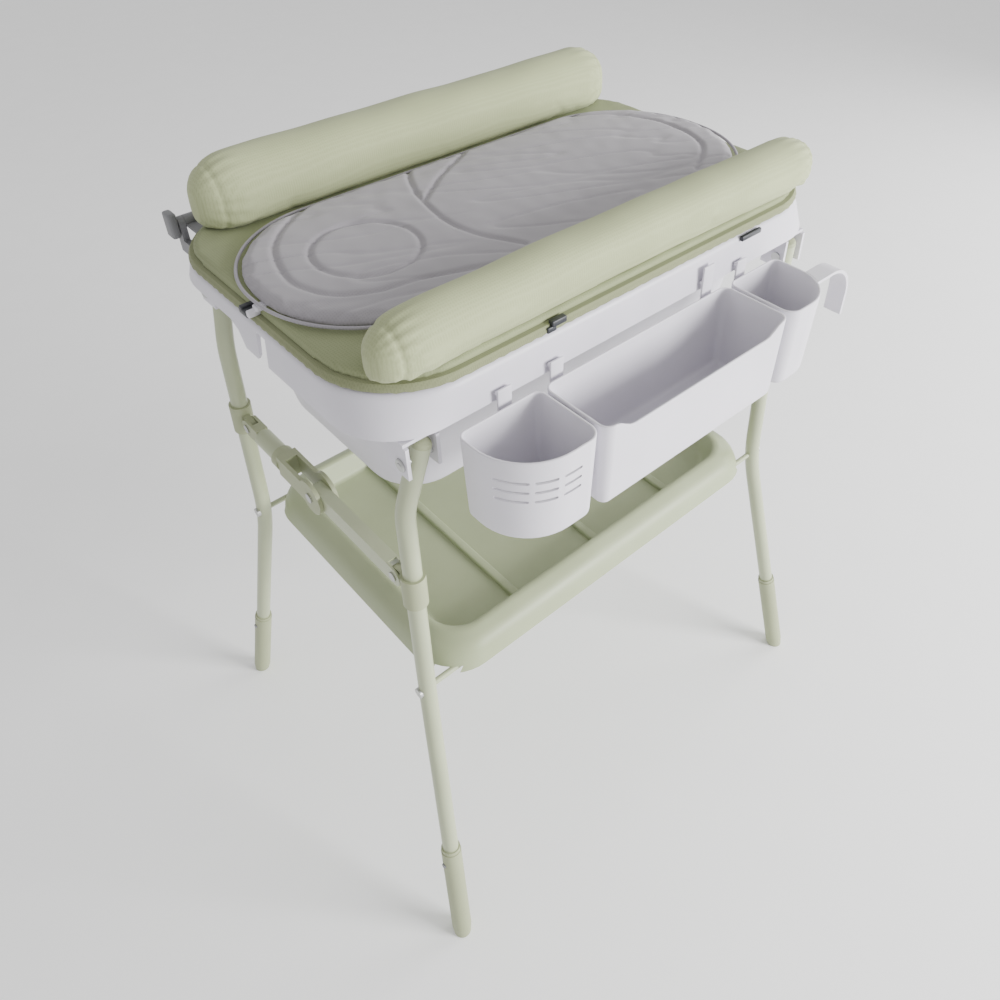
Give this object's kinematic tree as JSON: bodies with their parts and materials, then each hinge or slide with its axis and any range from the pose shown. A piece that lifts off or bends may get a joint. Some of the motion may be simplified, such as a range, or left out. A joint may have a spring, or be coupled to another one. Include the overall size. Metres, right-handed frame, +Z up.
{
  "type": "changing table",
  "caption": "Padded baby changing top hinged over a skirted bath, on a folding splayed tube stand with a lower tray, hanging bins and a hose hook.",
  "frame": {"origin": "on the floor, under the middle of the whole table's box", "axes": "+X along the bath, +Y to the back where the changing top is hinged, -Y the side with the bins, +Z up"},
  "size_m": [0.7808, 0.6464, 1.006],
  "materials": {
    "frame_tube": "satin powder coat, sage green",
    "frame_plastic": "fine moulded, sage green",
    "rivet_steel": "painted with the frame",
    "rod_steel": "satin powder coat, sage green",
    "button_plastic": "dark grey green moulding",
    "tray_plastic": "fine moulded, sage green",
    "bath_plastic": "satin moulded, lilac white",
    "plug_rubber": "soft grey rubber",
    "grey_plastic": "fine moulded, pale grey",
    "bin_plastic": "satin moulded, lilac white",
    "board_plastic": "stiff moulded board",
    "green_fabric": "fine woven heather fabric, sage green",
    "liner_fabric": "brushed jersey, lilac grey"
  },
  "bodies": {
    "bath": {"bath_shell": "bath_plastic", "drain_outlet": "bath_plastic", "bin_lugs": "bath_plastic", "pivot_pins": "rivet_steel", "mat_hinge_ears": "grey_plastic", "mat_hinge_pins": "rivet_steel", "leg_bracket_front_left": "grey_plastic", "leg_bracket_front_right": "grey_plastic", "leg_bracket_back_left": "grey_plastic", "leg_bracket_back_right": "grey_plastic"},
    "drain_plug": {"drain_plug": "plug_rubber"},
    "lower_tray": {"lower_tray": "tray_plastic"},
    "changing_top": {"mat_board": "board_plastic", "base_pad": "green_fabric", "liner_pad": "liner_fabric", "bolster_front": "green_fabric", "bolster_back": "green_fabric", "mat_hinge_leaves": "grey_plastic"},
    "storage_box": {"storage_box": "bin_plastic"},
    "cup_left": {"storage_cup_left": "bin_plastic"},
    "cup_right": {"storage_cup_right": "bin_plastic", "shower_hook": "grey_plastic"},
    "front_legs": {"leg_tube_front_left": "frame_tube", "leg_collar_front_left": "frame_plastic", "leg_tube_front_right": "frame_tube", "leg_collar_front_right": "frame_plastic", "cross_rod_front": "rod_steel", "rod_rivets_front": "rivet_steel"},
    "back_legs": {"leg_tube_back_left": "frame_tube", "leg_collar_back_left": "frame_plastic", "leg_tube_back_right": "frame_tube", "leg_collar_back_right": "frame_plastic", "cross_rod_back": "rod_steel", "rod_rivets_back": "rivet_steel"},
    "brace_front_left": {"spreader_channel_left": "frame_tube", "channel_pin_left": "rivet_steel"},
    "brace_back_left": {"spreader_tube_left": "frame_tube", "spreader_fork_left": "frame_plastic", "fork_pin_left": "rivet_steel", "hub_housing_left": "frame_plastic", "hub_rivets_left": "rivet_steel"},
    "brace_front_right": {"spreader_channel_right": "frame_tube", "channel_pin_right": "rivet_steel"},
    "brace_back_right": {"spreader_tube_right": "frame_tube", "spreader_fork_right": "frame_plastic", "fork_pin_right": "rivet_steel", "hub_housing_right": "frame_plastic", "hub_rivets_right": "rivet_steel"},
    "foot_front_left": {"foot_sleeve_front_left": "frame_plastic"},
    "button_front_left": {"foot_button_front_left": "button_plastic"},
    "foot_front_right": {"foot_sleeve_front_right": "frame_plastic"},
    "button_front_right": {"foot_button_front_right": "button_plastic"},
    "foot_back_left": {"foot_sleeve_back_left": "frame_plastic"},
    "button_back_left": {"foot_button_back_left": "button_plastic"},
    "foot_back_right": {"foot_sleeve_back_right": "frame_plastic"},
    "button_back_right": {"foot_button_back_right": "button_plastic"}
  },
  "joints": [
    {"name": "front_fold", "type": "hinge", "parent": "bath", "child": "front_legs", "pos_m": [0, -0.20291, 0.831], "axis": [1, 0, 0], "range_deg": [0, 18.5]},
    {"name": "back_fold", "type": "hinge", "parent": "bath", "child": "back_legs", "pos_m": [0, 0.21648, 0.831], "axis": [-1, 0, 0], "range_deg": [0, 18.5]},
    {"name": "front_brace_left", "type": "hinge", "parent": "front_legs", "child": "brace_front_left", "pos_m": [-0.31673, -0.16426, 0.639], "axis": [1, 0, 0], "range_deg": [0, 30.64]},
    {"name": "back_brace_left", "type": "hinge", "parent": "back_legs", "child": "brace_back_left", "pos_m": [-0.31673, 0.17783, 0.639], "axis": [-1, 0, 0], "range_deg": [0, 30.64]},
    {"name": "front_brace_right", "type": "hinge", "parent": "front_legs", "child": "brace_front_right", "pos_m": [0.31673, -0.16426, 0.639], "axis": [1, 0, 0], "range_deg": [0, 30.64]},
    {"name": "back_brace_right", "type": "hinge", "parent": "back_legs", "child": "brace_back_right", "pos_m": [0.31673, 0.17783, 0.639], "axis": [-1, 0, 0], "range_deg": [0, 30.64]},
    {"name": "tray_lift", "type": "slide", "parent": "bath", "child": "lower_tray", "axis": [0, 0, 1], "range_m": [0, 0.0802]},
    {"name": "foot_slide_front_left", "type": "slide", "parent": "front_legs", "child": "foot_front_left", "axis": [-0.1207, -0.2112, -0.97], "range_m": [0, 0.04]},
    {"name": "foot_button_front_left", "type": "slide", "parent": "foot_front_left", "child": "button_front_left", "axis": [0.9927, -0.0257, -0.1179], "range_m": [0, 0.0014], "stiffness_N_per_m": 500, "springref_m": -0.002},
    {"name": "foot_slide_front_right", "type": "slide", "parent": "front_legs", "child": "foot_front_right", "axis": [0.1207, -0.2112, -0.97], "range_m": [0, 0.04]},
    {"name": "foot_button_front_right", "type": "slide", "parent": "foot_front_right", "child": "button_front_right", "axis": [-0.9927, -0.0257, -0.1179], "range_m": [0, 0.0014], "stiffness_N_per_m": 500, "springref_m": -0.002},
    {"name": "foot_slide_back_left", "type": "slide", "parent": "back_legs", "child": "foot_back_left", "axis": [-0.1207, 0.2112, -0.97], "range_m": [0, 0.04]},
    {"name": "foot_button_back_left", "type": "slide", "parent": "foot_back_left", "child": "button_back_left", "axis": [0.9927, 0.0257, -0.1179], "range_m": [0, 0.0014], "stiffness_N_per_m": 500, "springref_m": -0.002},
    {"name": "foot_slide_back_right", "type": "slide", "parent": "back_legs", "child": "foot_back_right", "axis": [0.1207, 0.2112, -0.97], "range_m": [0, 0.04]},
    {"name": "foot_button_back_right", "type": "slide", "parent": "foot_back_right", "child": "button_back_right", "axis": [-0.9927, 0.0257, -0.1179], "range_m": [0, 0.0014], "stiffness_N_per_m": 500, "springref_m": -0.002},
    {"name": "top_hinge", "type": "hinge", "parent": "bath", "child": "changing_top", "pos_m": [0, 0.24678, 0.913], "axis": [-1, 0, 0], "range_deg": [0, 95]},
    {"name": "plug_pull", "type": "slide", "parent": "bath", "child": "drain_plug", "axis": [0, 0, 1], "range_m": [0, 0.03]},
    {"name": "box_lift", "type": "slide", "parent": "bath", "child": "storage_box", "axis": [0, 0, 1], "range_m": [0, 0.04]},
    {"name": "cup_left_lift", "type": "slide", "parent": "bath", "child": "cup_left", "axis": [0, 0, 1], "range_m": [0, 0.04]},
    {"name": "cup_right_lift", "type": "slide", "parent": "bath", "child": "cup_right", "axis": [0, 0, 1], "range_m": [0, 0.04]}
  ],
  "couplings": [
    {"joint": "back_fold", "follows": "front_fold", "ratio": 1},
    {"joint": "front_brace_left", "follows": "front_fold", "ratio": 1.651},
    {"joint": "back_brace_left", "follows": "front_fold", "ratio": 1.651},
    {"joint": "front_brace_right", "follows": "front_fold", "ratio": 1.651},
    {"joint": "back_brace_right", "follows": "front_fold", "ratio": 1.651},
    {"joint": "tray_lift", "follows": "front_fold", "m_per_rad": 0.24777}
  ]
}
